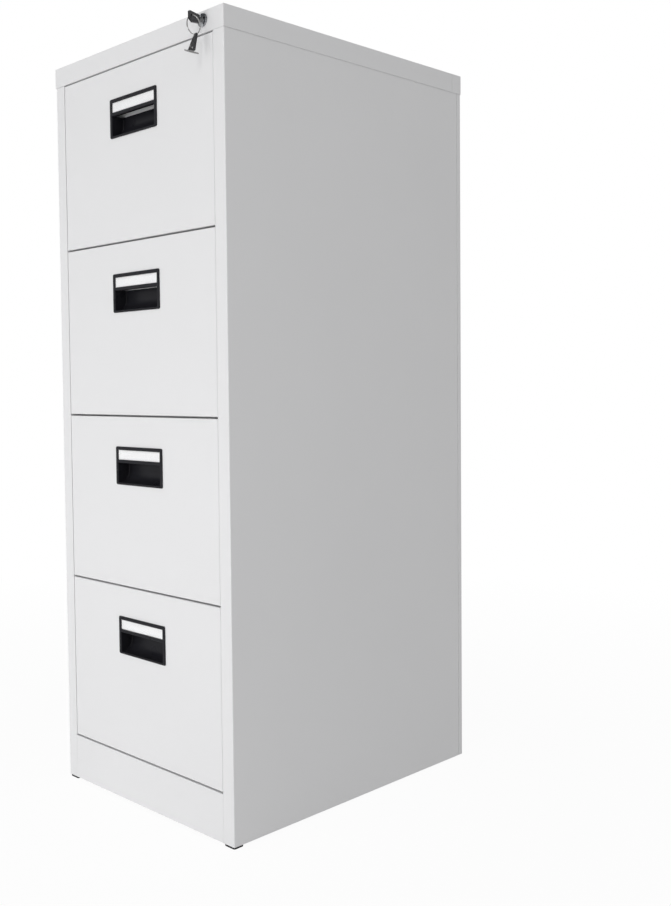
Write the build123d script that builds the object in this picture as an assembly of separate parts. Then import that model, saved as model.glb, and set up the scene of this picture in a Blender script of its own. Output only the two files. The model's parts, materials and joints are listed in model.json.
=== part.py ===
from build123d import *
import math
import os

# Four-drawer steel filing cabinet: folded sheet body, telescopic slides, central lock.
# Millimetres. X to the right seen from the front, Y to the back, Z up from the floor.
# The origin is on the floor, under the middle of the whole object, keys included.

# ---------------------------------------------------------------- driving dimensions
width, depth, height = 458.0, 620.0, 1325.0  # outside of the top cover, feet included
drawer_count = 4
sheet = 0.7  # steel of the body and of the drawers
lap = 0.3  # room between two lapped sheets
seam = 0.1  # room between two sheets that are screwed together
bend = 1.6  # outside radius of a visible fold
foot_height = 4.0
foot_length, foot_stud = 22.0, 6.0

cover_drop = 35.0  # flange of the top cover
cover_lip = 12.0
cover_corner_lap = 28.0  # rear flange wraps this far round the sides
post_width = 25.0  # face beside the drawers
post_return = 30.0
back_wrap = 10.0  # back panel folded round the sides
back_return = 15.0
plinth_height = 80.0
base_flange = 15.0
rail_height, rail_depth = 24.0, 12.0

drawer_gap = 3.0  # between two drawer fronts and above the plinth
cover_gap = 2.0  # above the top drawer front
side_gap = 1.0  # beside each drawer front
front_thickness = 26.0
skin_depth, liner_depth = 24.0, 10.0
tray_height, tray_room = 240.0, 38.0  # room behind the tray
tray_rise = 14.0  # tray floor above the lower edge of its front
tray_lip = 5.0
file_rail_span = 330.0  # A4 hanging folders
file_rail_section = (2.0, 14.0)

slide_thickness, slide_height, slide_sheet = 12.7, 45.7, 1.2
slide_run = 0.4  # running gap between two members
slide_fold = 1.6
slide_lip = 2.55
slide_rise = 90.0  # centre of the slides above the tray floor
slide_setback = 3.0  # slides start and end a little short of the tray
lug_width, lug_height, lug_depth, lug_drop = 8.0, 6.0, 2.4, 3.0

upright_face, upright_foot = 40.0, 12.0
front_upright, rear_upright = 56.0, 120.0  # from the cover's front and from its back

handle_width, handle_height = 127.0, 67.0
handle_drop = 52.3  # below the upper edge of the drawer front
handle_proud = 2.0
handle_rim = 3.0  # rim outside the hole in the drawer front
handle_wall = 1.8
handle_corner = 3.0
label_width, label_height, label_border = 116.0, 17.2, 6.0
label_sink = 2.6
card_thickness, window_thickness = 0.3, 0.8
card_play, card_air = 0.25, 0.1
pocket_width, pocket_opening = 115.0, 34.5
pocket_shallow, pocket_deep = 5.0, 25.0
pocket_rise = 1.0  # the scoop ends this far above the bar's lower edge, open at the top
bar_thickness, bar_round = 6.5, 2.5
mouth_round = 1.0
bottom_rim = 3.5

lock_inset, lock_drop = 48.0, 15.0  # from the right side and from the top
lock_face_radius, lock_face = 10.5, 3.0
barrel_radius, barrel_length = 9.0, 24.0
plug_radius, plug_proud = 6.5, 0.5
shaft_play = 0.05
boss_radius = 4.0
nut_flats, nut_thickness = 22.0, 4.0
cam_throw, cam_thickness, cam_width = 13.0, 2.0, 9.0
cam_pin_radius, cam_pin_length = 1.75, 8.0
quarter_turn = 90.0
slot_play = 0.6  # the slot lets the pin rise a little unevenly
bar_width, bar_sheet = 17.0, 1.5
flag_half = 4.5
hook_height, hook_room = 12.0, 1.5  # room between the hooks and the lip of a tray
catch_rise = 200.0  # above the tray floor
catch_depth = 1.2
guide_height, guide_rise = 16.0, 60.0

key_thickness, key_height, key_depth = 1.8, 7.4, 20.0
key_play = 0.2
rivet_reach = 11.5  # rivet in front of the cover
rivet_radius = 1.5
head_sheet, head_play = 0.8, 0.15
eye_back, eye_rise, eye_radius = 13.2, 2.4, 1.7
head_end = 4.3  # head beyond its eye
ring_radius, ring_wire = 9.2, 0.8

# ---------------------------------------------------------------- derived places
cover_lap = sheet + lap  # the cover stands this far outside the body
joggle = sheet + seam  # the sides step in under the back panel
key_reach = rivet_reach + eye_back + head_end
front = (key_reach - depth) / 2
back = front + depth
body_front, body_back = front + cover_lap, back - cover_lap
body_half = width / 2 - cover_lap
body_top = height - cover_lap
opening_half = body_half - post_width
plinth_top = foot_height + plinth_height
cover_bottom = height - cover_drop
front_height = (cover_bottom - cover_gap - plinth_top) / drawer_count - drawer_gap
pitch = front_height + drawer_gap
front_half = opening_half - side_gap
tray_half = opening_half - slide_thickness
tray_front = body_front + front_thickness
tray_back = body_back - tray_room
slide_front, slide_back = tray_front + slide_setback, tray_back - 2 * slide_setback
upright_fronts = (front + front_upright, back - rear_upright)
hole_half = handle_width / 2 - handle_rim
handle_front = body_front - handle_proud

lock_x = width / 2 - lock_inset
lock_z = height - lock_drop
plug_front = front - lock_face - plug_proud
plug_back = front + barrel_length + plug_proud
cam_back = plug_back + 1.5 + cam_thickness
stroke = 2 * cam_throw * math.sin(math.radians(quarter_turn / 2))
bar_x = opening_half + 2 * sheet + slide_run
bar_front = body_front + post_return + 2
bar_back = bar_front + bar_width
catch_front = bar_back + 1.5
rivet_y = front - rivet_reach
eye_y, eye_z = rivet_y - eye_back, lock_z + eye_rise


def drawer_floor(number):
    """Lower edge of a drawer front. Drawer 1 is the top one."""
    return plinth_top + drawer_gap + (drawer_count - number) * pitch


# ---------------------------------------------------------------- helpers
def block(x, y, z):
    """A box between two values on each axis."""
    middle = [(a + b) / 2 for a, b in (x, y, z)]
    return Pos(*middle) * Box(*(abs(b - a) for a, b in (x, y, z)))


def folded(path, thickness, fold=0.0):
    """Section of a folded sheet: path is one face, the metal lies to its left."""
    line = Polyline(*eased(path, fold))
    return make_face(offset(line, thickness, side=Side.LEFT, kind=Kind.INTERSECTION, closed=True))


def eased(path, fold):
    """A path whose corners are cut off by short flats, as in a roll-formed section."""
    if not fold:
        return path
    corners = [Vector(*point) for point in path]
    points = [corners[0]]
    for before, corner, after in zip(corners, corners[1:], corners[2:]):
        points.append(corner + (before - corner).normalized() * fold)
        points.append(corner + (after - corner).normalized() * fold)
    return points + [corners[-1]]


def upright_bar(section, z):
    """Extrudes a section drawn in X and Y between two heights."""
    return Pos(0, 0, z[0]) * extrude(section, z[1] - z[0])


def cross_bar(section, x):
    """Extrudes a section drawn in Y and Z between two X values."""
    return Pos(x[0], 0, 0) * extrude(Plane.YZ * section, x[1] - x[0])


def deep_bar(section, y):
    """Extrudes a section drawn in X and Z between two Y values."""
    return Pos(0, y[1], 0) * extrude(Plane.XZ * section, y[1] - y[0])


def pan(x, y, z, open_side, radius=0.0):
    """A pan of folded sheet, open on one side, with the rim of its closed face rounded."""
    outside, inside = [x, y, z], []
    for (low, high), way in zip(outside, open_side):
        inside.append((low - 1 if way < 0 else low + sheet, high + 1 if way > 0 else high - sheet))
    body, hollow = block(*outside), block(*inside)
    if radius:
        body = fillet(closed_face(body, open_side).edges(), radius)
        hollow = fillet(closed_face(hollow, open_side).edges(), radius - sheet)
    return body - hollow


def closed_face(body, open_side):
    return min(body.faces(), key=lambda face: face.center().dot(Vector(*open_side)))


def rod(centre, radius, length, direction=(0, 1, 0)):
    """A cylinder from a centre along a direction."""
    plane = Plane(origin=centre, z_dir=direction)
    return extrude(plane * Circle(radius), length)


def both_sides(right):
    """A right-hand piece with its mirror image."""
    return [mirror(right, Plane.YZ), right]


def save(name, *solids):
    """One STEP file for each node."""
    shape = solids[0] if len(solids) == 1 else Compound(children=[s.solid() for s in solids])
    export_step(shape, f"parts/{name}.step")


# ---------------------------------------------------------------- cabinet body
def side_panel():
    """Right side: post with its return, side, joggle under the back panel, rear return."""
    wrap_start = body_back - back_wrap - joggle - 0.5
    section = folded(
        [
            (opening_half, body_front + post_return),
            (opening_half, body_front),
            (body_half, body_front),
            (body_half, wrap_start),
            (body_half - joggle, wrap_start + joggle),
            (body_half - joggle, body_back - joggle),
            (body_half - joggle - back_return, body_back - joggle),
        ],
        sheet,
    )
    panel = upright_bar(section, (foot_height, body_top))
    corner = max(panel.edges().filter_by(Axis.Z), key=lambda e: e.center().X - e.center().Y)
    panel = fillet(corner, bend)
    floor = block(
        (opening_half, body_half - sheet / 2),
        (body_front + sheet / 2, wrap_start),
        (foot_height, foot_height + sheet),
    )
    panel = panel + floor
    for x, y in foot_places():
        panel -= stud(x, y, foot_height - 1, foot_height + 1, foot_stud + lap)
    return panel


def foot_places():
    """Centres of the two right-hand feet."""
    x = (opening_half + body_half) / 2
    return [(x, body_front + foot_length / 2), (x, body_back - foot_length / 2)]


def stud(x, y, low, high, side):
    """A square stud, or the room for it."""
    return block((x - side / 2, x + side / 2), (y - side / 2, y + side / 2), (low, high))


def foot(x, y):
    """A black corner pad with a square stud pressed into the floor flange."""
    half = post_width / 2 - 0.3
    pad = block((x - half, x + half), (y - foot_length / 2, y + foot_length / 2), (0, foot_height))
    pad = chamfer(pad.edges().filter_by(Axis.Z), 2.0)
    return pad + stud(x, y, foot_height - 1, foot_height + sheet + 1.5, foot_stud)


def back_panel():
    """Back, its edges folded round the stepped-in ends of the sides."""
    section = folded(
        [
            (body_half, body_back - back_wrap),
            (body_half, body_back),
            (-body_half, body_back),
            (-body_half, body_back - back_wrap),
        ],
        sheet,
    )
    return upright_bar(section, (foot_height, body_top))


def top_cover():
    """Folded cover with a lip behind its front flange and the lock's hole in it."""
    cover = pan(
        (-width / 2, width / 2), (front, back), (cover_bottom, height), (0, 0, -1), bend
    )
    cover += block(
        (-front_half, front_half),
        (front + sheet / 2, front + cover_lip),
        (cover_bottom, cover_bottom + sheet),
    )
    for side in (-1, 1):
        cover -= block(
            (side * (width / 2 - 2 * sheet), side * (width / 2 + 1)),
            (back - cover_corner_lap, back - cover_corner_lap + 0.5),
            (cover_bottom - 1, height - bend - 1),
        )
    return cover - rod((lock_x, front - 1, lock_z), barrel_radius + 0.15, sheet + 2)


def base_pan():
    """Floor of the cabinet, its four edges turned down."""
    half = body_half - joggle - sheet - seam
    y = (body_front + post_return + lap, body_back - joggle - sheet - seam)
    return pan((-half, half), y, (plinth_top - base_flange, plinth_top), (0, 0, -1))


def plinth():
    """Front below the drawers, level with the posts."""
    section = folded(
        [
            (body_front + post_return, plinth_top),
            (body_front, plinth_top),
            (body_front, foot_height),
            (body_front + 15, foot_height),
        ],
        sheet,
    )
    half = opening_half - lap
    return cross_bar(section, (-half, half))


def cross_rail(z):
    """A channel between the posts, behind the gap between two drawers."""
    y = tray_front + 1.5
    section = folded(
        [
            (y + rail_depth, z + rail_height / 2),
            (y, z + rail_height / 2),
            (y, z - rail_height / 2),
            (y + rail_depth, z - rail_height / 2),
        ],
        sheet,
    )
    half = opening_half - seam
    return cross_bar(section, (-half, half))


def upright(y):
    """A hat section on the side panel. The slides hook into its face."""
    face, foot_x = opening_half + sheet, body_half - sheet
    section = folded(
        [
            (foot_x, y - upright_foot),
            (foot_x, y),
            (face, y),
            (face, y + upright_face),
            (foot_x, y + upright_face),
            (foot_x, y + upright_face + upright_foot),
        ],
        sheet,
    )
    bar = upright_bar(section, (plinth_top + seam, cover_bottom - 5))
    for number in range(1, drawer_count + 1):
        z = slide_centre(number)
        bar -= block(
            (opening_half - 1, opening_half + 2 * sheet),
            (y + upright_face / 2 - lug_width / 2 - 0.3, y + upright_face / 2 + lug_width / 2 + 0.3),
            (z - lug_height - lug_drop, z + lug_height / 2 + 0.3),
        )
    return bar


# ---------------------------------------------------------------- telescopic slides
def slide_centre(number):
    return drawer_floor(number) + tray_rise + slide_rise


def slide_outer(number):
    """Cabinet member: a channel with lips, hooked into both uprights."""
    half = slide_height / 2
    mouth = opening_half - slide_thickness + 0.5
    section = folded(
        [
            (mouth, slide_lip - half),
            (mouth, -half),
            (opening_half, -half),
            (opening_half, half),
            (mouth, half),
            (mouth, half - slide_lip),
        ],
        slide_sheet,
        slide_fold,
    )
    z = slide_centre(number)
    member = Pos(0, 0, z) * deep_bar(section, (slide_front, slide_back))
    for y in upright_fronts:
        y += upright_face / 2
        lug_y = (y - lug_width / 2, y + lug_width / 2)
        tip = opening_half + lug_depth
        member += block((opening_half - 0.5, tip), lug_y, (z - lug_height / 2, z + lug_height / 2))
        member += block(
            (opening_half + sheet + 0.2, tip), lug_y, (z - lug_height / 2 - lug_drop, z)
        )
    return member


def slide_middle(number):
    """Intermediate member, running inside the outer one."""
    half = slide_height / 2 - slide_sheet - slide_run
    web = opening_half - slide_sheet - slide_run
    mouth = opening_half - slide_thickness + 0.5 + slide_sheet + 1.2
    section = folded(
        [(mouth, -half), (web, -half), (web, half), (mouth, half)], slide_sheet, slide_fold
    )
    y = (slide_front + slide_setback, slide_back - 6 * slide_setback)
    return Pos(0, 0, slide_centre(number)) * deep_bar(section, y)


def slide_inner(number):
    """Drawer member, fixed to the tray's side."""
    half = slide_height / 2 - 2 * (slide_sheet + slide_run)
    mouth = opening_half - 2 * (slide_sheet + slide_run) - slide_run
    section = folded(
        [(mouth, half), (tray_half, half), (tray_half, -half), (mouth, -half)],
        slide_sheet,
        slide_fold,
    )
    y = (slide_front, slide_back - slide_setback)
    return Pos(0, 0, slide_centre(number)) * deep_bar(section, y)


# ---------------------------------------------------------------- drawers
def handle_bottom(number):
    return drawer_floor(number) + front_height - handle_drop - handle_height


def drawer_front(number):
    """Outer skin of a drawer front: a shallow pan with rounded edges, open at the back."""
    z = drawer_floor(number)
    skin = pan(
        (-front_half, front_half),
        (body_front, body_front + skin_depth),
        (z, z + front_height),
        (0, 1, 0),
        1.4,
    )
    half = hole_half + lap
    return skin - block(
        (-half, half),
        (body_front - 1, body_front + 5),
        (
            handle_bottom(number) + handle_rim - lap,
            handle_bottom(number) + handle_height - handle_rim + lap,
        ),
    )


def front_liner(number):
    """Inner pan that closes the drawer front from behind."""
    inset = sheet + 0.2
    z = drawer_floor(number)
    return pan(
        (-front_half + inset, front_half - inset),
        (tray_front - liner_depth, tray_front),
        (z + inset, z + front_height - inset),
        (0, -1, 0),
    )


def drawer_tray(number):
    """Open tray of four welded pieces: floor with both sides, rear wall, front wall, lock catch."""
    z = drawer_floor(number) + tray_rise
    top = z + tray_height
    half, lip, fold = tray_half, tray_half + tray_lip, top - sheet
    wrap = folded(
        [(-lip, fold), (-half, fold), (-half, z), (half, z), (half, fold), (lip, fold)], sheet
    )
    inner = half - sheet
    rear_wall = block((-inner, inner), (tray_back - sheet, tray_back), (z + sheet, top))
    front_wall = block((-inner, inner), (tray_front, tray_front + sheet), (z + sheet, top))
    catch = block(
        (half, opening_half - 2.2),
        (catch_front, catch_front + catch_depth),
        (z + catch_rise - hook_height / 2, z + catch_rise + hook_height / 2),
    )
    return deep_bar(wrap, (tray_front, tray_back)), rear_wall, front_wall, catch


def file_rail(number, x):
    """A bar for hanging folders that rests on the tray's front and rear walls."""
    thick, tall = file_rail_section
    top = drawer_floor(number) + tray_rise + tray_height
    y = (tray_front, tray_back)
    bar = block(
        (x - thick / 2, x + thick / 2),
        (y[0] + sheet + lap, y[1] - sheet - lap),
        (top + thick - tall, top + thick),
    )
    bar += block((x - thick / 2, x + thick / 2), (y[0], y[1] + thick), (top, top + thick))
    hook = block(
        (x - thick / 2, x + thick / 2), (y[1] + seam, y[1] + thick), (top - 6, top + thick)
    )
    return bar + hook


# ---------------------------------------------------------------- handle
def pocket_scoop(number, wall, top):
    """The pocket up to a height: level lip, quarter-round scoop, upright back. wall is added."""
    low = handle_bottom(number) + bottom_rim - wall
    radius = pocket_deep - pocket_shallow + wall
    open_face = handle_front - 1
    arc = CenterArc((handle_front + pocket_shallow, low + radius), radius, -90, 90)
    outline = Wire(
        [
            *Polyline((open_face, top), (open_face, low), arc @ 0).edges(),
            arc.edge(),
            *Polyline(arc @ 1, (handle_front + pocket_deep + wall, top), (open_face, top)).edges(),
        ]
    )
    half = pocket_width / 2 + wall
    return cross_bar(make_face(outline), (-half, half))


def finger_bar(bar_bottom):
    """The bar over the pocket, its lower edge rounded for the fingertips."""
    half = pocket_width / 2 + mouth_round + seam
    bar = block(
        (-half, half),
        (handle_front, handle_front + bar_thickness),
        (bar_bottom, bar_bottom + 2 * bar_round),
    )
    return fillet(bar.edges().filter_by(Axis.X).sort_by(Axis.Z)[:2].sort_by(Axis.Y)[0], bar_round)


def handle(number):
    """Moulded flush handle: rim, label recess, finger bar and scooped pocket."""
    z = handle_bottom(number)
    half, top = handle_width / 2, z + handle_height
    bar_bottom = z + bottom_rim + pocket_opening
    rim = block((-half, half), (handle_front, body_front), (z, top))
    rim = fillet(rim.edges().filter_by(Axis.Y), handle_corner)
    rim = chamfer(rim.faces().sort_by(Axis.Y)[0].edges(), 0.6)
    body = block(
        (-hole_half, hole_half),
        (body_front, handle_front + bar_thickness),
        (z + handle_rim, top - handle_rim),
    )
    housing = pocket_scoop(number, handle_wall, bar_bottom + pocket_rise)
    housing &= block((-half, half), (body_front, back), (z + handle_rim - lap, top))
    moulding = rim + body + housing - pocket_scoop(number, 0, bar_bottom + bar_round)
    moulding = fillet(mouth_edges(moulding, z + bottom_rim), mouth_round)
    label_top = top - label_border
    recess = block(
        (-label_width / 2, label_width / 2),
        (handle_front - 1, handle_front + label_sink),
        (label_top - label_height, label_top),
    )
    return moulding + finger_bar(bar_bottom) - recess


def mouth_edges(moulding, low):
    """Front edges of the pocket's mouth, beside and below it."""
    on_face = moulding.edges().filter_by_position(Axis.Y, handle_front - 0.1, handle_front + 0.1)
    beside = on_face.filter_by_position(Axis.X, -pocket_width / 2 - 0.1, pocket_width / 2 + 0.1)
    return beside.filter_by_position(Axis.Z, low - 0.1, low + pocket_opening)


def label_sheet(number, depth_in, thickness):
    """A card or window that lies in the label recess, depth_in behind the rim's face."""
    half = label_width / 2 - card_play
    label_top = handle_bottom(number) + handle_height - label_border
    y = handle_front + depth_in
    return block(
        (-half, half),
        (y, y + thickness),
        (label_top - label_height + card_play, label_top - card_play),
    )


# ---------------------------------------------------------------- lock
def lock_housing():
    """Round face and barrel, bored for the plug."""
    face = rod((lock_x, front, lock_z), lock_face_radius, lock_face, (0, -1, 0))
    face = chamfer(face.edges().group_by(Axis.Y)[0], 1.0)
    barrel = rod((lock_x, front, lock_z), barrel_radius, barrel_length)
    bore = rod((lock_x, plug_front - 1, lock_z), plug_radius + shaft_play, 2 * barrel_length)
    return face + barrel - bore


def lock_plug():
    """Cylinder that turns with the key, with a boss for the cam and a tapped end."""
    plug = rod((lock_x, plug_front, lock_z), plug_radius, plug_back - plug_front)
    boss = rod((lock_x, plug_back, lock_z), boss_radius, cam_back - plug_back)
    keyway_x = key_thickness / 2 + key_play
    keyway_z = key_height / 2 + key_play
    keyway = block(
        (lock_x - keyway_x, lock_x + keyway_x),
        (plug_front - 1, plug_front + key_depth + 1),
        (lock_z - keyway_z, lock_z + keyway_z),
    )
    tapped = rod((lock_x, cam_back, lock_z), 2.0, 5.0, (0, -1, 0))
    return plug + boss - keyway - tapped


def lock_nut():
    """Hexagon nut that clamps the lock to the cover's flange."""
    plane = Plane(origin=(lock_x, front + sheet, lock_z), z_dir=(0, 1, 0))
    nut = extrude(plane * RegularPolygon(nut_flats / 2, 6, major_radius=False), nut_thickness)
    return nut - rod((lock_x, front, lock_z), barrel_radius + shaft_play, 2 * nut_thickness)


def cam_pin_place(angle):
    """X and Z of the cam's pin at an angle from straight right, anticlockwise from the front."""
    turn = math.radians(angle)
    return lock_x + cam_throw * math.cos(turn), lock_z + cam_throw * math.sin(turn)


def lock_cam():
    """Crank plate on the plug, with the pin that lifts the lock bar."""
    start = -quarter_turn / 2
    x, z = cam_pin_place(start)
    plate = Plane(
        origin=(lock_x, cam_back - cam_thickness, lock_z),
        x_dir=(x - lock_x, 0, z - lock_z),
        z_dir=(0, 1, 0),
    )
    slot = Pos(cam_throw / 2, 0) * SlotCenterToCenter(cam_throw, cam_width)
    cam = extrude(plate * slot, cam_thickness)
    cam -= rod((lock_x, plug_back - 1, lock_z), boss_radius + shaft_play, 3 * cam_thickness)
    return cam + rod((x, cam_back - cam_thickness / 2, z), cam_pin_radius, cam_pin_length)


def cam_screw():
    """Screw in the end of the plug that keeps the cam on its boss."""
    head = rod((lock_x, cam_back, lock_z), boss_radius + 1.5, 2.2)
    return head + rod((lock_x, cam_back, lock_z), 2.0 - shaft_play, 4.0, (0, -1, 0))


def lock_bar():
    """Upright bar behind the right post."""
    return block(
        (bar_x, bar_x + bar_sheet),
        (bar_front, bar_back),
        (plinth_top + seam, cam_pin_place(-quarter_turn / 2)[1] + flag_half),
    )


def bar_flag():
    """Slotted plate welded to the bar. The cam's pin lifts it by its slot."""
    pin_x, pin_z = cam_pin_place(-quarter_turn / 2)
    reach = cam_pin_radius + slot_play
    y = (bar_front, bar_front + bar_sheet)
    flag = block((pin_x - reach - 3.5, bar_x), y, (pin_z - flag_half, pin_z + flag_half))
    return flag - block(
        (pin_x - reach, lock_x + cam_throw + reach),
        (y[0] - 1, y[1] + 1),
        (pin_z - reach, pin_z + reach),
    )


def bar_hook(number):
    """Tab welded to the bar. Raised, it stands in front of the drawer's catch."""
    z = drawer_floor(number) + tray_rise + catch_rise - stroke
    return block(
        (tray_half + tray_lip + hook_room, bar_x),
        (bar_back - bar_sheet, bar_back),
        (z - hook_height / 2, z + hook_height / 2),
    )


def bar_guide(z):
    """A folded clip on the post's return that keeps the lock bar upright."""
    inner, outer = bar_x - slide_run, bar_x + bar_sheet + slide_run
    back_face, front_face = bar_back + slide_run, bar_front - slide_run
    heights = (z, z + guide_height)
    clip = block((inner - sheet, inner), (body_front + post_return - 8, back_face), heights)
    clip += block((inner - sheet, outer + sheet), (back_face, back_face + sheet), heights)
    clip += block((outer, outer + sheet), (front_face - sheet, back_face), heights)
    return clip + block((outer - 1.2, outer), (front_face - sheet, front_face), heights)


# ---------------------------------------------------------------- key
def key_blade():
    """Flat blade with a few cuts, its round end held in the head by a rivet."""
    tip = plug_front + key_depth
    half = key_height / 2
    outline = make_face(
        Polyline(
            (rivet_y, -half),
            (tip - 3, -half),
            (tip, -half + 2.5),
            (tip, half - 2.5),
            (tip - 3, half),
            (rivet_y, half),
            close=True,
        )
    )
    outline += Pos(rivet_y, 0) * Circle(half)
    for n, cut in enumerate((1.4, 0.8, 1.8, 1.1)):
        y = tip - 5 - 3.2 * n
        tooth = make_face(
            Polyline(
                (y - 0.6 - cut, half + 0.1),
                (y - 0.6, half - cut),
                (y + 0.6, half - cut),
                (y + 0.6 + cut, half + 0.1),
                close=True,
            )
        )
        outline -= tooth
        outline -= mirror(tooth, Plane.XZ)
    outline -= Pos(rivet_y, 0) * Circle(rivet_radius + shaft_play)
    blade = extrude(Plane.YZ * outline, key_thickness / 2, both=True)
    return Pos(lock_x, 0, lock_z) * blade


def key_head():
    """Folded head: two cheeks joined along the lower edge, an eye and the rivet."""
    end = eye_y - head_end
    nose = rivet_y + 3.5
    outline = make_face(
        Polyline((end, 9.5), (end, -2.5), (end + 6, -7.5), (nose, -6.5), (nose, 6.5), close=True)
    )
    outline = fillet(outline.vertices(), 1.2)
    outline -= Pos(eye_y, eye_rise) * Circle(eye_radius)
    inner = key_thickness / 2 + head_play
    cheek = Pos(inner, 0, 0) * extrude(Plane.YZ * outline, head_sheet)
    fold = make_face(
        Polyline(
            (end + 6, -7.5), (nose - 1, -6.6), (nose - 1, -5.8), (end + 6, -6.7), close=True
        )
    )
    rivet = Pos(rivet_y, 0) * Circle(rivet_radius)
    head = cheek + mirror(cheek, Plane.YZ)
    head += extrude(Plane.YZ * fold, inner, both=True)
    head += extrude(Plane.YZ * rivet, inner + head_sheet, both=True)
    return Pos(lock_x, 0, lock_z) * head


def key_ring():
    """Flat split ring that hangs from the eye of the head."""
    plane = Plane(origin=(lock_x, eye_y, eye_z - ring_radius), z_dir=(0, 1, 0))
    outline = Circle(ring_radius + ring_wire) - Circle(ring_radius - ring_wire)
    return extrude(plane * outline, ring_wire, both=True)


# ---------------------------------------------------------------- write every node
os.makedirs("parts", exist_ok=True)
drawers = range(1, drawer_count + 1)

right_side = side_panel()
save("right_side_panel", right_side)
save("left_side_panel", mirror(right_side, Plane.YZ))
save("back_panel", back_panel())
save("top_cover", top_cover())
save("base_pan", base_pan())
save("plinth", plinth())
gap_middles = [drawer_floor(number) - drawer_gap / 2 for number in drawers][:-1]
save("cross_rails", *(cross_rail(z) for z in gap_middles))
uprights = [upright(y) for y in upright_fronts]
save("right_uprights", *uprights)
save("left_uprights", *(mirror(u, Plane.YZ) for u in uprights))
save("feet", *(piece for x, y in foot_places() for piece in both_sides(foot(x, y))))
save("slide_outers", *(piece for n in drawers for piece in both_sides(slide_outer(n))))

for number in drawers:
    save(f"slide_middles_{number}", *both_sides(slide_middle(number)))
    save(f"slide_inners_{number}", *both_sides(slide_inner(number)))
    save(f"drawer_front_{number}", drawer_front(number))
    save(f"front_liner_{number}", front_liner(number))
    save(f"drawer_tray_{number}", *drawer_tray(number))
    save(f"hanging_rails_{number}", *(file_rail(number, s * file_rail_span / 2) for s in (-1, 1)))
    save(f"handle_{number}", handle(number))
    card_depth = label_sink - card_thickness
    save(f"label_card_{number}", label_sheet(number, card_depth, card_thickness))
    window_depth = card_depth - card_air - window_thickness
    save(f"label_window_{number}", label_sheet(number, window_depth, window_thickness))

save("lock_housing", lock_housing())
save("lock_nut", lock_nut())
save("lock_plug", lock_plug())
save("lock_cam", lock_cam())
save("cam_screw", cam_screw())
save("lock_bar", lock_bar())
save("lock_bar_tabs", bar_flag(), *(bar_hook(number) for number in drawers))
save("lock_bar_guides", *(bar_guide(drawer_floor(n) + guide_rise) for n in drawers))
save("key_blade", key_blade())
save("key_head", key_head())
save("key_ring", key_ring())
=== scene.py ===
"""A four-drawer steel filing cabinet in a pale studio.

Every CAD node of the cabinet gets its finish here. The screws, rivets, rounded mouldings, feet,
split ring and spare key are modelled on top, in millimetres, with the drawers facing -Y. The
studio and the camera come last, in metres.
"""

import json
import math

import bmesh
import bpy
from mathutils import Euler, Matrix, Vector


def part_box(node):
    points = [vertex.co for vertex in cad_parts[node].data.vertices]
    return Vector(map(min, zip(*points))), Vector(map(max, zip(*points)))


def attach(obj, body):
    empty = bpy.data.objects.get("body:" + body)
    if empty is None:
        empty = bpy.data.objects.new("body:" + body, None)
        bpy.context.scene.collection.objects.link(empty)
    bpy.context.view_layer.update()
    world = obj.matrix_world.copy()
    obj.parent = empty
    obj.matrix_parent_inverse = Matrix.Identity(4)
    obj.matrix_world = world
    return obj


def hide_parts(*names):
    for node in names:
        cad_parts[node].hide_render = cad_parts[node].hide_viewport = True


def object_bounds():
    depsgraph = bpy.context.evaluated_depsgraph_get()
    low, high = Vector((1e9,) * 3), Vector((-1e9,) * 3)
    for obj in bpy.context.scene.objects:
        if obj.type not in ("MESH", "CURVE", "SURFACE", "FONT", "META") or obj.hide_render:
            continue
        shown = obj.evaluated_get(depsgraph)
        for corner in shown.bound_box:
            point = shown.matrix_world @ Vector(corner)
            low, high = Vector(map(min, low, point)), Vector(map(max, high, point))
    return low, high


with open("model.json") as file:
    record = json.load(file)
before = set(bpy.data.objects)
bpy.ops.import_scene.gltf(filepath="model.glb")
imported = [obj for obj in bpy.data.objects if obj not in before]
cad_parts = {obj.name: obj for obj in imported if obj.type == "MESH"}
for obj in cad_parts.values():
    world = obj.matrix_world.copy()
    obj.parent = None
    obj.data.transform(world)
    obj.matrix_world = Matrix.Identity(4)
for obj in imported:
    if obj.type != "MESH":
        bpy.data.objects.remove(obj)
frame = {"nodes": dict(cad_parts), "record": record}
cad_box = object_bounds()
MM = 0.001
DRAWERS = (1, 2, 3, 4)


# ---------------------------------------------------------------- nodes and colours
# The sockets of a Mix node that blends two colours.
MIX_SHARE, MIX_FIRST, MIX_SECOND, MIX_RESULT = 0, 6, 7, 2


def linear(code):
    """An sRGB hex code as the linear colour that a shader takes."""
    parts = [int(code[i : i + 2], 16) / 255 for i in (1, 3, 5)]
    return [c / 12.92 if c <= 0.04045 else ((c + 0.055) / 1.055) ** 2.4 for c in parts] + [1.0]


def add(tree, kind, put=None, join=None, **settings):
    """Adds a node: its settings, its input values, and the sockets joined to its inputs."""
    node = tree.nodes.new(kind)
    for name, value in settings.items():
        setattr(node, name, value)
    for name, value in (put or {}).items():
        node.inputs[name].default_value = value
    for name, socket in (join or {}).items():
        tree.links.new(socket, node.inputs[name])
    return node


def new_material(name):
    """A material with no nodes, and the tree that its nodes are added to."""
    material = bpy.data.materials.new(name)
    material.use_nodes = True
    tree = material.node_tree
    tree.nodes.clear()
    return material, tree


def per_metre(millimetres):
    """A noise scale whose features are about that far apart."""
    return 1 / (millimetres * MM)


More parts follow.
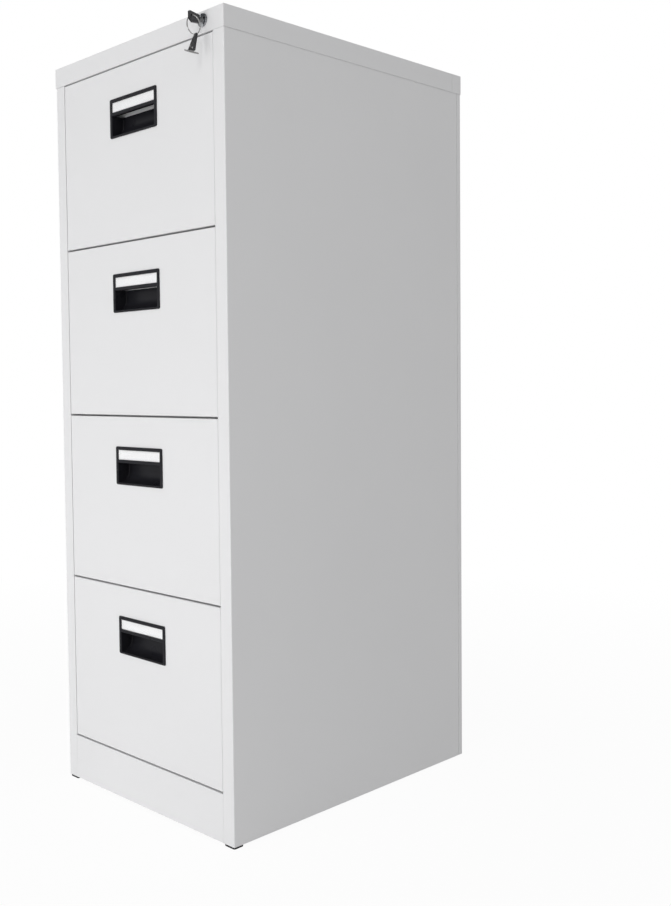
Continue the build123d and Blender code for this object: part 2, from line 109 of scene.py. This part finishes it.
def surface(
    name,
    colour,
    roughness,
    grain_mm,
    grain_height_mm,
    tint=None,
    tint_mm=40.0,
    tint_edges=(0.0, 1.0),
    stretch=(1.0, 1.0, 1.0),
    sockets=None,
):
    """A finish with a raised grain, a second colour in cloudy patches, and uneven gloss.

    roughness is its lowest and highest value. tint_edges are the heights of the cloudy pattern
    between which the second colour comes in. stretch draws both patterns out along an axis.
    """
    material, tree = new_material(name)
    place = add(tree, "ShaderNodeTexCoord").outputs["Object"]
    drawn = add(tree, "ShaderNodeMapping", {"Scale": stretch}, {"Vector": place}).outputs[0]
    grain = add(
        tree,
        "ShaderNodeTexNoise",
        {"Scale": per_metre(grain_mm), "Detail": 3.0},
        {"Vector": drawn},
    )
    patches = add(
        tree,
        "ShaderNodeTexNoise",
        {"Scale": per_metre(tint_mm), "Detail": 2.0},
        {"Vector": drawn},
    )
    gloss = add(
        tree,
        "ShaderNodeMapRange",
        {"From Min": 0.3, "From Max": 0.7, "To Min": roughness[0], "To Max": roughness[1]},
        {"Value": patches.outputs[0]},
    )
    share = add(
        tree,
        "ShaderNodeMapRange",
        {"From Min": tint_edges[0], "From Max": tint_edges[1]},
        {"Value": patches.outputs[0]},
    )
    mixed = add(
        tree,
        "ShaderNodeMix",
        {MIX_FIRST: linear(colour), MIX_SECOND: linear(tint or colour)},
        {MIX_SHARE: share.outputs[0]},
        data_type="RGBA",
    )
    bump = add(
        tree,
        "ShaderNodeBump",
        {"Strength": 1.0, "Distance": grain_height_mm * MM},
        {"Height": grain.outputs[0]},
    )
    shader = add(
        tree,
        "ShaderNodeBsdfPrincipled",
        sockets,
        {
            "Base Color": mixed.outputs[MIX_RESULT],
            "Roughness": gloss.outputs[0],
            "Normal": bump.outputs[0],
        },
    )
    add(tree, "ShaderNodeOutputMaterial", join={"Surface": shader.outputs[0]})
    return material


# ---------------------------------------------------------------- finishes
METAL = {"Metallic": 1.0}
finishes = {
    # Polyester powder coat on steel sheet, sprayed and stoved: satin, with a soft orange peel.
    # The peel is about 1 mm across; it is drawn at 2 mm to show at all.
    "white_enamel": surface(
        "powder_coated_steel",
        "#E2E2E3",
        roughness=(0.42, 0.48),
        grain_mm=2.0,
        grain_height_mm=0.012,
        tint="#E0E0E1",
        tint_mm=160.0,
    ),
    # Injection-moulded ABS with a fine spark-eroded grain: near black, with a low sheen that
    # shows only where an edge or the scoop turns to a lamp.
    "handle_black": surface(
        "moulded_black_abs",
        "#1C1C20",
        roughness=(0.26, 0.34),
        grain_mm=0.9,
        grain_height_mm=0.010,
        tint="#232327",
        tint_mm=30.0,
        sockets={"Specular IOR Level": 0.09},
    ),
    # Uncoated white card: flat, with a faint cloudy fibre.
    "label_card": surface(
        "paper_card",
        "#F6F6F7",
        roughness=(0.85, 0.95),
        grain_mm=0.7,
        grain_height_mm=0.01,
        tint="#F2F2F3",
        tint_mm=4.0,
    ),
    # Rigid clear PVC sheet: only its gloss shows over the card.
    "label_window": surface(
        "clear_pvc",
        "#FFFFFF",
        roughness=(0.06, 0.10),
        grain_mm=8.0,
        grain_height_mm=0.01,
        tint_mm=20.0,
        sockets={"Alpha": 0.12},
    ),
    # Bright zinc plate on cold-rolled steel: bluish grey with streaks along the rolling.
    "zinc_plate": surface(
        "zinc_plated_steel",
        "#C2C5C9",
        roughness=(0.24, 0.36),
        grain_mm=1.0,
        grain_height_mm=0.004,
        tint="#B4B9C0",
        tint_mm=12.0,
        stretch=(1.0, 0.08, 1.0),
        sockets=METAL,
    ),
    # Chrome on a zinc die casting: a mirror, with deep grey patches painted into its colour as
    # painted reflections of dark surroundings.
    "lock_chrome": surface(
        "polished_chrome",
        "#B2B4B7",
        roughness=(0.05, 0.12),
        grain_mm=6.0,
        grain_height_mm=0.004,
        tint="#2E3033",
        tint_mm=7.0,
        tint_edges=(0.32, 0.62),
        sockets=METAL,
    ),
    # Nickel plate on stamped steel: duller than chrome, with grey patches painted into its colour
    # as painted reflections of dark surroundings.
    "key_nickel": surface(
        "nickel_plated_steel",
        "#B3B2AF",
        roughness=(0.14, 0.24),
        grain_mm=1.5,
        grain_height_mm=0.004,
        tint="#77777A",
        tint_mm=5.0,
        sockets=METAL,
    ),
    # Stoved black lacquer on thin pressed steel: glossy, with worn, slightly lighter patches.
    "key_black": surface(
        "black_lacquered_steel",
        "#232325",
        roughness=(0.22, 0.34),
        grain_mm=1.2,
        grain_height_mm=0.006,
        tint="#2C2C2F",
        tint_mm=5.0,
    ),
    # Moulded rubber: dead matt.
    "black_foot": surface(
        "black_rubber",
        "#18181A",
        roughness=(0.75, 0.90),
        grain_mm=1.5,
        grain_height_mm=0.03,
        tint="#1F1F20",
        tint_mm=8.0,
    ),
}

for part in frame["record"]["subparts"]:
    node = frame["nodes"][part["node"]]
    node.data.materials.clear()
    node.data.materials.append(finishes[part["material_slot"]])


# ---------------------------------------------------------------- modelling
SMOOTH_ANGLE = math.radians(35)  # sharper edges than this stay sharp
SLACK = 0.05  # how far a corner, edge or face may lie from the place where it is picked


def let_go():
    """Leaves edit mode with nothing selected."""
    if bpy.context.mode != "OBJECT":
        bpy.ops.object.mode_set(mode="OBJECT")
    bpy.ops.object.select_all(action="DESELECT")


def start(kind, name, place, turn=(0, 0, 0), **sizes):
    """A primitive left in edit mode, with its place and turn (degrees) in its mesh."""
    let_go()
    sizes = {key: value if key == "vertices" else value * MM for key, value in sizes.items()}
    add_primitive = getattr(bpy.ops.mesh, f"primitive_{kind}_add")
    add_primitive(location=Vector(place) * MM, rotation=[math.radians(a) for a in turn], **sizes)
    piece = bpy.context.object
    piece.name = piece.data.name = name
    bpy.ops.object.transform_apply(location=True, rotation=True, scale=True)
    bpy.ops.object.mode_set(mode="EDIT")
    return piece


def box(name, low, high):
    """A block between two corners, left in edit mode."""
    middle = (Vector(low) + Vector(high)) / 2
    piece = start("cube", name, middle, size=1.0)
    bpy.ops.transform.resize(value=Vector(high) - Vector(low), center_override=middle * MM)
    return piece


def pick(kind, test):
    """In edit mode, selects the corners, edges or faces whose middle passes a test."""
    mesh = bpy.context.object.data
    bpy.ops.mesh.select_mode(type=kind)
    bpy.ops.mesh.select_all(action="DESELECT")
    drawn = bmesh.from_edit_mesh(mesh)
    for part in {"VERT": drawn.verts, "EDGE": drawn.edges, "FACE": drawn.faces}[kind]:
        corners = [part] if kind == "VERT" else part.verts
        middle = sum((corner.co for corner in corners), Vector()) / len(corners)
        part.select_set(test(middle / MM))
    drawn.select_flush_mode()
    bmesh.update_edit_mesh(mesh)


def bevel(width, segments):
    """Bevels the edges that are selected."""
    bpy.ops.mesh.bevel(offset=width * MM, segments=segments, affect="EDGES")


def alone(piece):
    """Leaves edit mode with only this piece selected."""
    let_go()
    bpy.context.view_layer.objects.active = piece
    piece.select_set(True)


def cut(piece, tool):
    """Cuts a tool's shape out of a piece, and deletes the tool."""
    alone(piece)
    hole = piece.modifiers.new("hole", "BOOLEAN")
    hole.object = tool
    bpy.ops.object.modifier_apply(modifier=hole.name)
    bpy.data.objects.remove(tool)


def weld(piece, *others):
    """Joins other pieces into the first one."""
    alone(piece)
    for other in others:
        other.select_set(True)
    bpy.ops.object.join()
    return piece


def fix(piece, body, slot):
    """Shades a finished piece, gives it its finish and fixes it to its body."""
    alone(piece)
    bpy.ops.object.shade_smooth_by_angle(angle=SMOOTH_ANGLE)
    piece.data.materials.clear()
    piece.data.materials.append(finishes[slot])
    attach(piece, body)
    return piece


def twin(piece, name, move=(0, 0, 0), mirrored=False):
    """A copy of a piece with its own mesh, moved, or mirrored across the middle of the cabinet."""
    alone(piece)
    bpy.ops.object.duplicate()
    copy = bpy.context.view_layer.objects.active
    copy.name = copy.data.name = name
    bpy.ops.object.mode_set(mode="EDIT")
    bpy.ops.mesh.select_all(action="SELECT")
    if mirrored:
        bpy.ops.transform.resize(value=(-1, 1, 1), center_override=(0, 0, 0))
        bpy.ops.mesh.normals_make_consistent()
    bpy.ops.transform.translate(value=Vector(move) * MM)
    bpy.ops.object.mode_set(mode="OBJECT")
    return copy


def corners_of(node):
    """Lowest and highest corners of a CAD node in millimetres."""
    return [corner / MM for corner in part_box(node)]


def dome(name, place, turn, radius, rise):
    """A low domed head: a disc standing on a face, its outer edge rounded right over."""
    base = Vector(place)
    head = start("cylinder", name, base, turn, vertices=20, radius=radius, depth=2 * rise)
    outward = Euler([math.radians(a) for a in turn]).to_matrix() @ Vector((0, 0, 1))
    pick("EDGE", lambda m: (m - base).dot(outward) > rise - SLACK)
    bevel(0.7 * rise, 4)
    return head


# ---------------------------------------------------------------- screws in the back
SCREW_RADIUS, SCREW_RISE = 3.6, 2.0  # of the head
SCREW_ROWS, SCREW_INSET, SCREW_MARGIN = 5, 9.0, 60.0  # margins from the panel's side and ends
SLOT_REACH, SLOT_HALF, SLOT_FLOOR = 2.1, 0.45, 0.7  # of the cross; its floor over the panel


def back_screws():
    """Self-tapping pan-head screws hold the back panel to the rear returns of the sides."""
    back_high = corners_of("back_panel")[1]
    across, surface_y = back_high.x - SCREW_INSET, back_high.y
    first_height, last_height = SCREW_MARGIN, back_high.z - SCREW_MARGIN
    head = dome(
        "back_screw", (across, surface_y, first_height), (-90, 0, 0), SCREW_RADIUS, SCREW_RISE
    )
    for half_x, half_z in ((SLOT_REACH, SLOT_HALF), (SLOT_HALF, SLOT_REACH)):
        slot_low = (across - half_x, surface_y + SLOT_FLOOR, first_height - half_z)
        slot_high = (across + half_x, surface_y + SCREW_RISE + 1.0, first_height + half_z)
        cut(head, box("cross_slot", slot_low, slot_high))
    for row in range(SCREW_ROWS):
        rise = row * (last_height - first_height) / (SCREW_ROWS - 1)
        right_screw = twin(head, f"back_screw_right_{row + 1}", (0, 0, rise))
        left_screw = twin(right_screw, f"back_screw_left_{row + 1}", (-2 * across, 0, 0))
        fix(right_screw, "cabinet", "zinc_plate")
        fix(left_screw, "cabinet", "zinc_plate")
    bpy.data.objects.remove(head)


# ---------------------------------------------------------------- rivets in the trays
RIVET_RADIUS, RIVET_RISE, RIVET_MARGIN = 3.0, 1.1, 45.0  # head, and distance from a member's end
POST_LAP, SLIDE_ROOM, SHEET = 0.3, 12.7, 0.7  # post past the plinth, slide width, tray's steel


def slide_rivets(number):
    """Domed rivets hold the inner slide members to the sides of one tray."""
    tray_inside = corners_of("plinth")[1].x + POST_LAP - SLIDE_ROOM - SHEET
    low, high = corners_of(f"slide_inners_{number}")
    height = (low.z + high.z) / 2
    places = [low.y + RIVET_MARGIN, (low.y + high.y) / 2, high.y - RIVET_MARGIN]
    rivets = [
        dome(f"rivet_{n}", (tray_inside, y, height), (-90, 0, 90), RIVET_RADIUS, RIVET_RISE)
        for n, y in enumerate(places)
    ]
    right_rivets = weld(*rivets)
    right_rivets.name = f"slide_rivets_right_{number}"
    left_rivets = twin(right_rivets, f"slide_rivets_left_{number}", mirrored=True)
    fix(right_rivets, f"drawer_{number}", "zinc_plate")
    fix(left_rivets, f"drawer_{number}", "zinc_plate")


# ---------------------------------------------------------------- handle mouldings
POCKET_HALF, POCKET_ROUND = 57.5, 2.0  # half the pocket's width, and its corners' radius
LIP_DEPTH, BAR_DROP = 1.5, 29.5  # past the rounded lip, and below the bar, both from the rim
MESH_GAP, MESH_ANGLE = 0.002, math.radians(0.5)  # corners and faces closer than this are one


def handle_moulding(number):
    """One moulding with the inner corners of its scooped pocket rounded."""
    handle = f"handle_{number}"
    handle_low, handle_high = corners_of(handle)
    mouth, under_bar = handle_low.y + LIP_DEPTH, handle_high.z - BAR_DROP
    moulded = bpy.data.objects.new(f"moulding_{number}", frame["nodes"][handle].data.copy())
    bpy.context.scene.collection.objects.link(moulded)
    alone(moulded)
    bpy.ops.object.mode_set(mode="EDIT")
    bpy.ops.mesh.select_all(action="SELECT")
    bpy.ops.mesh.remove_doubles(threshold=MESH_GAP * MM)
    bpy.ops.mesh.dissolve_limited(angle_limit=MESH_ANGLE)
    pick(
        "EDGE",
        lambda m: abs(abs(m.x) - POCKET_HALF) < SLACK and m.y > mouth and m.z < under_bar,
    )
    bevel(POCKET_ROUND, 3)
    fix(moulded, f"drawer_{number}", "handle_black")
    even = moulded.modifiers.new("flat_faces_stay_flat", "WEIGHTED_NORMAL")
    even.keep_sharp = True
    bpy.ops.object.modifier_apply(modifier=even.name)
    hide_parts(handle)


# ---------------------------------------------------------------- feet
FLOOR_FLANGE = 4.0  # from the floor to the flange that the feet are pressed into
FOOT_WIDTH, FOOT_LENGTH, FOOT_SETBACK = 24.4, 22.0, 1.0  # setback of a pad from the corner
BUTTON_RADIUS, STUD, STUD_ROOT = 5.5, 5.8, 0.5  # the stud's width, and its root in the foot


def feet():
    """Rubber glides: pads under the front corners and round buttons behind, each with a stud."""
    feet_low, feet_high = corners_of("feet")
    stud_top = feet_high.z
    foot_x = feet_high.x - FOOT_WIDTH / 2
    front_y, rear_y = feet_low.y + FOOT_LENGTH / 2, feet_high.y - FOOT_LENGTH / 2

    front_foot = box(
        "foot_front_right",
        (foot_x - FOOT_WIDTH / 2, front_y - FOOT_LENGTH / 2 + FOOT_SETBACK, 0),
        (feet_high.x - FOOT_SETBACK, front_y + FOOT_LENGTH / 2, FLOOR_FLANGE),
    )
    pick("EDGE", lambda m: abs(m.z - FLOOR_FLANGE / 2) < SLACK)
    bevel(3.0, 4)
    pick("EDGE", lambda m: m.z < SLACK)
    bevel(0.7, 3)

    rear_foot = start(
        "cylinder",
        "foot_rear_right",
        (foot_x, rear_y, FLOOR_FLANGE / 2),
        vertices=32,
        radius=BUTTON_RADIUS,
        depth=FLOOR_FLANGE,
    )
    pick("EDGE", lambda m: m.z < SLACK)
    bevel(0.9, 3)

    for foot, foot_y in ((front_foot, front_y), (rear_foot, rear_y)):
        stud = box(
            "stud",
            (foot_x - STUD / 2, foot_y - STUD / 2, FLOOR_FLANGE - STUD_ROOT),
            (foot_x + STUD / 2, foot_y + STUD / 2, stud_top),
        )
        pick("EDGE", lambda m: m.z > stud_top - SLACK)
        bevel(0.6, 1)
        weld(foot, stud)
        left_foot = twin(foot, foot.name.replace("right", "left"), mirrored=True)
        fix(foot, "cabinet", "black_foot")
        fix(left_foot, "cabinet", "black_foot")
        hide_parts("feet")


# ---------------------------------------------------------------- split ring
CAD_WIRE = 0.8  # half the thickness of the CAD ring, whose top passes through the key's eye
WIRE, RING_RADIUS = 0.5, 14.2  # half the wire's thickness, and the ring to the wire's middle
RING_LEAN = math.radians(22.5)  # from upright towards the cabinet
RING_TURN, RING_STEPS = math.radians(346), 44  # of one turn, whose two ends stay apart


def eye_of_key():
    """Where the ring hangs in the eye of the key in the lock."""
    ring_low, ring_high = corners_of("key_ring")
    middle = (ring_low + ring_high) / 2
    return Vector((middle.x, middle.y, ring_high.z - CAD_WIRE))


def split_ring(key_eye):
    """Two turns of spring wire side by side, their ends cut off square."""
    ring_middle = key_eye - Vector((0, 0, RING_RADIUS))
    ring_turns = []
    for side in (-1, 1):
        wire_start = ring_middle + Vector((side * RING_RADIUS, side * WIRE, 0))
        ring_turns.append(start("circle", "key_ring_wire", wire_start, vertices=8, radius=WIRE))
        bpy.ops.mesh.edge_face_add()
        bpy.ops.mesh.spin(
            steps=RING_STEPS, angle=RING_TURN, center=ring_middle * MM, axis=(0, side, 0)
        )
        bpy.ops.mesh.select_all(action="SELECT")
        bpy.ops.mesh.remove_doubles(threshold=0.01 * MM)
        bpy.ops.mesh.normals_make_consistent()
        bpy.ops.transform.rotate(value=-RING_LEAN, orient_axis="X", center_override=key_eye * MM)
    ring = fix(weld(*ring_turns), "key_ring", "key_nickel")
    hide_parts("key_ring")


# ---------------------------------------------------------------- spare key
# It hangs from the ring by its eye, with its blade folded across. Places are from its eye.
EYE, CHEEK, FOLD_HALF = 1.3, 0.8, 1.05  # eye's radius, steel of the head, half the room inside
HALF_HEAD = FOLD_HALF + CHEEK
HEAD_TOP, HEAD_END, HEAD_FRONT, HEAD_BACK = 2.3, -26.4, -16.6, -4.0
TAPER, TAPER_LINE = 0.37, 6.0  # width left at the top, shrunk towards a line behind the eye
FOLD_TOP, BEYOND = -5.0, 5.0  # top of the room, and how far its cutter reaches past the head
HALF_BLADE, BLADE_LOW, BLADE_HIGH = 0.9, -29.8, -27.2
TANG_Y, TANG_HALF, TIP_TAPER = -10.2, 3.6, 0.7  # the blade's root, and the height left at its tips
FRONT_REACH, BACK_REACH = 11.0, 10.5  # of the blade past its root
PIVOT_RISE, PIVOT_RADIUS, PIVOT_HEAD = 4.0, 1.5, 0.5  # over the head's end, and out of its cheek


def spare_head(eye):
    """A channel of pressed steel that tapers towards its eye."""
    head = box(
        "spare_key_head",
        eye + Vector((-HALF_HEAD, HEAD_FRONT, HEAD_END)),
        eye + Vector((HALF_HEAD, HEAD_BACK, HEAD_TOP)),
    )
    pick("VERT", lambda m: m.z > eye.z + HEAD_TOP - SLACK)
    taper_line = eye + Vector((0, TAPER_LINE, HEAD_TOP))
    bpy.ops.transform.resize(value=(1, TAPER, 1), center_override=taper_line * MM)
    pick("EDGE", lambda m: abs(m.x - eye.x) < SLACK)
    bevel(1.6, 4)
    pick("EDGE", lambda m: abs(m.x - eye.x) > HALF_HEAD - SLACK)
    bevel(0.3, 2)
    cut(head, start("cylinder", "eye", eye, (0, 90, 0), vertices=24, radius=EYE, depth=8.0))
    cut(
        head,
        box(
            "fold_room",
            eye + Vector((-FOLD_HALF, HEAD_FRONT - BEYOND, HEAD_END - BEYOND)),
            eye + Vector((FOLD_HALF, TAPER_LINE + BEYOND, FOLD_TOP)),
        ),
    )
    fix(head, "key_ring", "key_black")


def spare_blade(eye):
    """A stamped blade with a tang that is riveted into the head."""
    tang = eye + Vector((0, TANG_Y, HEAD_END + PIVOT_RISE))
    blade_low, blade_high = eye.z + BLADE_LOW, eye.z + BLADE_HIGH
    blade = box(
        "spare_key_blade",
        (tang.x - HALF_BLADE, tang.y - TANG_HALF, blade_low),
        (tang.x + HALF_BLADE, tang.y + TANG_HALF, tang.z + TANG_HALF),
    )
    bpy.ops.mesh.select_all(action="SELECT")
    bpy.ops.mesh.bisect(plane_co=Vector((tang.x, tang.y, blade_high)) * MM, plane_no=(0, 0, 1))
    for side, reach in ((-1, FRONT_REACH), (1, BACK_REACH)):
        pick("FACE", lambda m: side * (m.y - tang.y) > TANG_HALF - SLACK and m.z < blade_high)
        bpy.ops.mesh.extrude_region_move(
            TRANSFORM_OT_translate={"value": (0, side * reach * MM, 0)}
        )
        tip = Vector((tang.x, tang.y + side * (TANG_HALF + reach), (blade_low + blade_high) / 2))
        pick("VERT", lambda m: side * (m.y - tip.y) > -SLACK)
        bpy.ops.transform.resize(value=(1, 1, TIP_TAPER), center_override=tip * MM)
    pick("EDGE", lambda m: abs(m.x - tang.x) > HALF_BLADE - SLACK)
    bevel(0.25, 2)
    pivot_half = HALF_HEAD + PIVOT_HEAD
    pivot = start(
        "cylinder",
        "pivot_rivet",
        tang,
        (0, 90, 0),
        vertices=20,
        radius=PIVOT_RADIUS,
        depth=2 * pivot_half,
    )
    pick("EDGE", lambda m: abs(m.x - tang.x) > pivot_half - SLACK)
    bevel(0.45, 3)
    fix(weld(blade, pivot), "key_ring", "key_nickel")


# ---------------------------------------------------------------- all the new pieces
back_screws()
for number in DRAWERS:
    slide_rivets(number)
for number in DRAWERS:
    handle_moulding(number)
feet()
key_eye = eye_of_key()
split_ring(key_eye)
ring_foot = 2 * RING_RADIUS * Vector((0, math.sin(RING_LEAN), -math.cos(RING_LEAN)))
spare_eye = key_eye + ring_foot + Vector((0, 0, WIRE - EYE))
spare_head(spare_eye)
spare_blade(spare_eye)


# ---------------------------------------------------------------- studio
CENTRE = (Vector(cad_box[0]) + Vector(cad_box[1])) / 2
FLOOR_SIZE, FLOOR_GREY, AIR_GREY = 24.0, "#E8E8E8", "#F5F5F5"
SHADOWS_TO, WHITE_FROM, WHITE_NEAR = 0.6, 2.2, 0.95
AIR_LIGHT = 0.53  # what the air gives to the cabinet; it is seen at 1, which is white


def seen_directly(tree):
    """1 for what the camera, a gloss or clear plastic shows, 0 for what only lights things."""
    ray = add(tree, "ShaderNodeLightPath").outputs
    seen = ray["Is Camera Ray"]
    for other in ("Is Glossy Ray", "Is Transmission Ray"):
        seen = add(tree, "ShaderNodeMath", join={0: seen, 1: ray[other]}, operation="MAXIMUM")
        seen = seen.outputs[0]
    return seen


def white_paint(name, colour, near, far, white_near):
    """Pale matt paint that looks plain white far out, and keeps soft shadows near the middle.

    near and far are distances from the middle; white_near is how white it looks inside near.
    """
    material, tree = new_material(name)
    place = add(tree, "ShaderNodeTexCoord").outputs["Object"]
    away = add(tree, "ShaderNodeVectorMath", join={0: place}, operation="LENGTH").outputs["Value"]
    share = add(
        tree,
        "ShaderNodeMapRange",
        {"From Min": near, "From Max": far, "To Min": white_near, "To Max": 1.0},
        {"Value": away},
    )
    amount = add(
        tree,
        "ShaderNodeMath",
        join={0: share.outputs[0], 1: seen_directly(tree)},
        operation="MULTIPLY",
    )
    paint = add(tree, "ShaderNodeBsdfDiffuse", {"Color": linear(colour)})
    white = add(tree, "ShaderNodeEmission", {"Strength": 1.0})
    mixed = add(
        tree,
        "ShaderNodeMixShader",
        join={0: amount.outputs[0], 1: paint.outputs[0], 2: white.outputs[0]},
    )
    add(tree, "ShaderNodeOutputMaterial", join={"Surface": mixed.outputs[0]})
    return material


def softbox(name, place, aim, size, watts):
    """A square area lamp aimed at a point."""
    lamp = bpy.data.lights.new(name, "AREA")
    lamp.size = size
    lamp.energy = watts
    housing = bpy.data.objects.new(name, lamp)
    housing.location = place
    housing.rotation_euler = (Vector(aim) - Vector(place)).to_track_quat("-Z", "Y").to_euler()
    housing.visible_camera = False
    bpy.context.scene.collection.objects.link(housing)


let_go()
bpy.ops.mesh.primitive_plane_add(size=FLOOR_SIZE, location=(0, 0, 0))
floor = bpy.context.object
floor.name = "studio_floor"
floor.data.materials.append(
    white_paint("pale_studio_floor", FLOOR_GREY, SHADOWS_TO, WHITE_FROM, WHITE_NEAR)
)

world = bpy.data.worlds.new("studio_air")
bpy.context.scene.world = world
world.use_nodes = True
air = world.node_tree
air.nodes.clear()
soft = add(air, "ShaderNodeBackground", {"Color": linear(AIR_GREY), "Strength": AIR_LIGHT})
white = add(air, "ShaderNodeBackground", {"Color": linear("#FFFFFF"), "Strength": 1.0})
mixed = add(
    air,
    "ShaderNodeMixShader",
    join={0: seen_directly(air), 1: soft.outputs[0], 2: white.outputs[0]},
)
add(air, "ShaderNodeOutputWorld", join={"Surface": mixed.outputs[0]})

# A high lamp and a weaker front one light the drawers. A low one lifts the plinth, and the one
# at the right keeps the side panel a little darker than the front.
softbox("high_softbox", (1.4, -3.6, 3.4), CENTRE, 1.6, 30.0)
softbox("front_softbox", (-0.8, -3.2, 0.8), (0.0, -0.3, 0.5), 1.5, 20.0)
softbox("low_softbox", (-0.3, -1.6, 0.25), (0.0, -0.3, -0.25), 0.5, 2.8)
softbox("side_softbox", (2.0, -1.7, 0.65), (0.23, -0.3, 0.6), 1.2, 7.2)


# ---------------------------------------------------------------- camera
# Level with the middle of the cabinet and off its right front corner.
AZIMUTH, ELEVATION, ROLL = math.radians(47.729), math.radians(2.615), math.radians(-0.786)
CAMERA_PLACE = Vector((1.4462, -1.4288, 0.7431))
FOCAL_MM, FILM_MM = 42.42, 36.0
SHIFT_X, SHIFT_Y = 0.1316, -0.0237

back = Vector(
    (
        math.sin(AZIMUTH) * math.cos(ELEVATION),
        -math.cos(AZIMUTH) * math.cos(ELEVATION),
        math.sin(ELEVATION),
    )
)
level = Vector((0, 0, 1)).cross(back).normalized()
upright = back.cross(level)
right = level * math.cos(ROLL) + upright * math.sin(ROLL)
top = upright * math.cos(ROLL) - level * math.sin(ROLL)

camera_data = bpy.data.cameras.new("camera")
camera_data.lens = FOCAL_MM
camera_data.sensor_width = FILM_MM
camera_data.shift_x = SHIFT_X
camera_data.shift_y = SHIFT_Y
camera = bpy.data.objects.new("camera", camera_data)
camera.location = CAMERA_PLACE
camera.rotation_euler = Matrix((right, top, back)).transposed().to_euler()
bpy.context.scene.collection.objects.link(camera)
bpy.context.scene.camera = camera
bpy.context.scene.view_settings.view_transform = "Standard"
